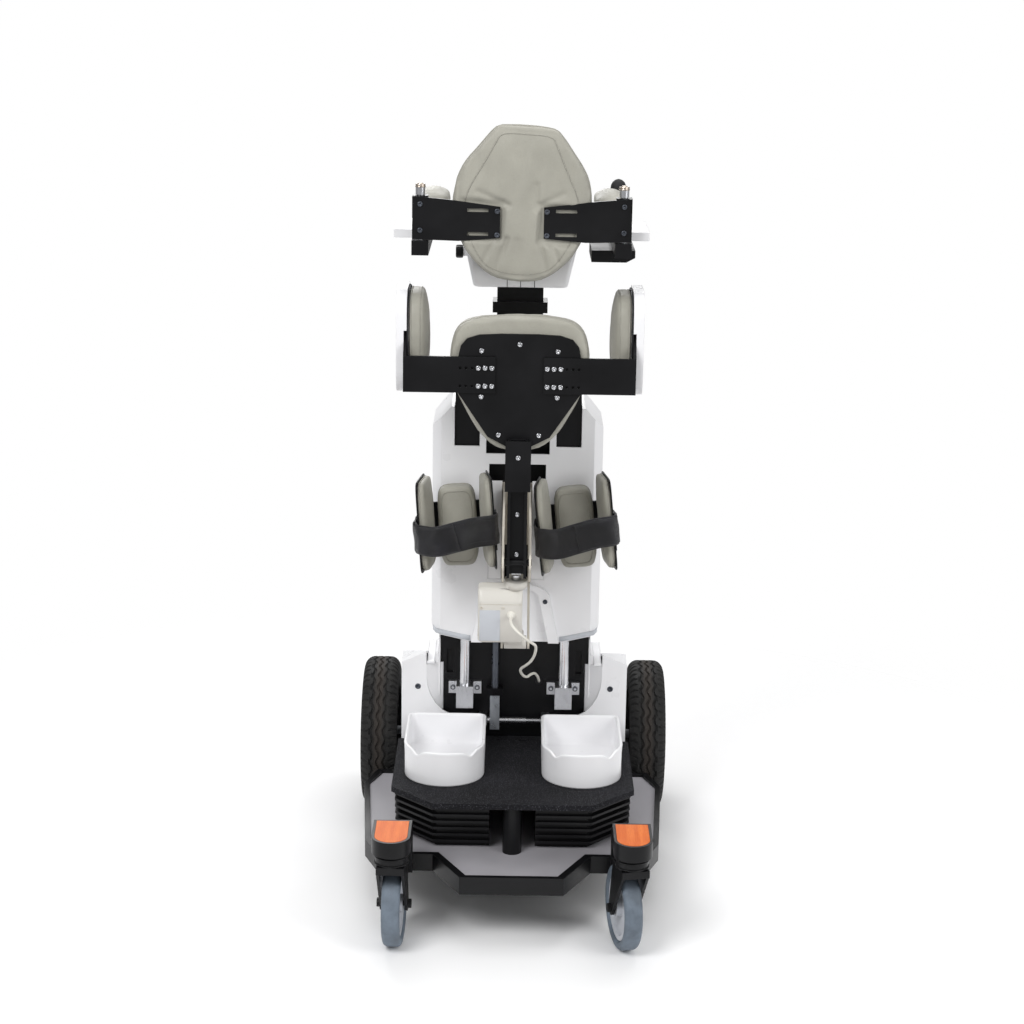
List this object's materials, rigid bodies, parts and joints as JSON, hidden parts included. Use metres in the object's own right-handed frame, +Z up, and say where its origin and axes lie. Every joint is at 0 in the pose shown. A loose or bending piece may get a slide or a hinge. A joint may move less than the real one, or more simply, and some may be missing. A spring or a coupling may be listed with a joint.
{
  "type": "standing frame",
  "caption": "Powered standing frame: wheeled base with foot platform, sliding column with knee supports, swing seat with hip pads and a chest unit with armrests and a gate backrest.",
  "frame": {"origin": "on the floor, under the middle of the overall width and length", "axes": "+Z up, +Y the way the user faces, +X to the right of the user"},
  "size_m": [0.598, 0.917, 1.4031],
  "materials": {
    "black_coat": "fine satin powder coat",
    "grey_panel": "satin",
    "grit_black": "gritted",
    "black_plastic": "matt",
    "white_plastic": "soft gloss",
    "wood_inlay": "sealed",
    "chrome": "polished",
    "aluminium": "machined",
    "dark_steel": "satin",
    "steel": "brushed",
    "motor_grey": "cast",
    "battery_case": "matt",
    "tyre_rubber": "moulded",
    "wheel_hub": "matt",
    "caster_rubber": "smooth",
    "caster_core": "satin",
    "bronze": "sintered",
    "beige_coat": "satin",
    "beige_plastic": "satin",
    "white_cable": "smooth",
    "upholstery": "grained soft cover",
    "black_rubber": "soft touch",
    "red_plastic": "gloss",
    "webbing": "woven"
  },
  "bodies": {
    "base": {"deck_frame": "black_coat", "deck_panel": "grey_panel", "platform": "grit_black", "fin_stacks": "black_plastic", "platform_post": "black_coat", "foot_cups": "white_plastic", "caster_arms": "black_coat", "caster_caps": "wood_inlay", "base_cover": "white_plastic", "chassis_plate": "black_coat", "guide_rods": "chrome", "shaft_supports": "aluminium", "lift_rod": "dark_steel", "cross_bar": "steel", "gearmotors": "motor_grey", "battery_pack": "battery_case"},
    "left_drive_wheel": {"left_tyre": "tyre_rubber", "left_hub": "wheel_hub"},
    "right_drive_wheel": {"right_tyre": "tyre_rubber", "right_hub": "wheel_hub"},
    "left_caster": {"left_caster_fork": "black_coat"},
    "left_caster_wheel": {"left_caster_tread": "caster_rubber", "left_caster_hub": "caster_core"},
    "right_caster": {"right_caster_fork": "black_coat"},
    "right_caster_wheel": {"right_caster_tread": "caster_rubber", "right_caster_hub": "caster_core"},
    "column": {"column_shell": "white_plastic", "column_frame": "black_coat", "guide_bushes": "bronze", "seat_pivot_bracket": "beige_coat", "actuator_body": "beige_plastic", "actuator_cable": "white_cable"},
    "chest_unit": {"mast": "black_coat", "chest_housing": "white_plastic", "chest_pad": "upholstery", "arm_beams": "black_coat", "armrest_trays": "white_plastic", "armrest_pads": "upholstery", "hinge_pins": "steel", "control_box": "black_plastic"},
    "joystick": {"joystick": "black_rubber"},
    "power_button": {"power_button": "red_plastic"},
    "clamp_knob": {"clamp_knob": "black_rubber"},
    "backrest": {"backrest_brackets": "black_coat", "backrest_pad": "upholstery", "backrest_screws": "steel"},
    "seat": {"seat_plate": "black_coat", "seat_cushion": "upholstery", "seat_post": "black_coat", "hip_brackets": "black_coat", "hip_shells": "white_plastic", "hip_pads": "upholstery", "seat_screws": "steel"},
    "actuator_rod": {"actuator_rod": "chrome"},
    "left_knee": {"left_knee_bracket": "black_coat", "left_knee_pads": "upholstery", "left_knee_strap": "webbing"},
    "right_knee": {"right_knee_bracket": "black_coat", "right_knee_pads": "upholstery", "right_knee_strap": "webbing"}
  },
  "joints": [
    {"name": "left_drive_spin", "type": "hinge", "parent": "base", "child": "left_drive_wheel", "pos_m": [-0.264, 0.3105, 0.148], "axis": [1, 0, 0], "continuous": true},
    {"name": "right_drive_spin", "type": "hinge", "parent": "base", "child": "right_drive_wheel", "pos_m": [0.264, 0.3105, 0.148], "axis": [1, 0, 0], "continuous": true},
    {"name": "left_caster_swivel", "type": "hinge", "parent": "base", "child": "left_caster", "pos_m": [-0.205, -0.4065, 0.2], "axis": [0, 0, 1], "continuous": true},
    {"name": "left_caster_roll", "type": "hinge", "parent": "left_caster", "child": "left_caster_wheel", "pos_m": [-0.20264, -0.36156, 0.075], "axis": [0.9986, -0.0523, 0], "continuous": true},
    {"name": "right_caster_swivel", "type": "hinge", "parent": "base", "child": "right_caster", "pos_m": [0.205, -0.4065, 0.2], "axis": [0, 0, 1], "continuous": true},
    {"name": "right_caster_roll", "type": "hinge", "parent": "right_caster", "child": "right_caster_wheel", "pos_m": [0.19564, -0.36248, 0.075], "axis": [0.9781, 0.2079, 0], "continuous": true},
    {"name": "column_lift", "type": "slide", "parent": "base", "child": "column", "axis": [0, 0, 1], "range_m": [-0.05, 0.08], "deforming": ["actuator_cable"]},
    {"name": "mast_lift", "type": "slide", "parent": "column", "child": "chest_unit", "axis": [0, 0, 1], "range_m": [-0.02, 0.12]},
    {"name": "seat_swing", "type": "hinge", "parent": "column", "child": "seat", "pos_m": [0, -0.2335, 0.655], "axis": [1, 0, 0], "range_deg": [0, 90]},
    {"name": "actuator_extend", "type": "slide", "parent": "column", "child": "actuator_rod", "axis": [0, -0.2588, 0.9659], "range_m": [0, 0.072]},
    {"name": "left_knee_swivel", "type": "hinge", "parent": "column", "child": "left_knee", "pos_m": [-0.107, 0.0385, 0.662], "axis": [0, 1, 0], "range_deg": [-6, 6]},
    {"name": "right_knee_swivel", "type": "hinge", "parent": "column", "child": "right_knee", "pos_m": [0.107, 0.0385, 0.662], "axis": [0, 1, 0], "range_deg": [-6, 6]},
    {"name": "backrest_gate", "type": "hinge", "parent": "chest_unit", "child": "backrest", "pos_m": [-0.168, -0.2515, 1.25], "axis": [0, 0, -1], "range_deg": [0, 100]},
    {"name": "joystick_tilt", "type": "hinge", "parent": "chest_unit", "child": "joystick", "pos_m": [0.168, -0.0215, 1.2315], "axis": [1, 0, 0], "range_deg": [-20, 20], "stiffness_Nm_per_rad": 0.6},
    {"name": "power_button_press", "type": "slide", "parent": "chest_unit", "child": "power_button", "axis": [0, 0, -1], "range_m": [0, 0.002], "stiffness_N_per_m": 300},
    {"name": "clamp_knob_turn", "type": "hinge", "parent": "chest_unit", "child": "clamp_knob", "pos_m": [-0.1108, 0.0685, 1.15], "axis": [1, 0, 0], "continuous": true}
  ],
  "couplings": [
    {"joint": "actuator_extend", "follows": "seat_swing", "m_per_rad": 0.045016}
  ]
}
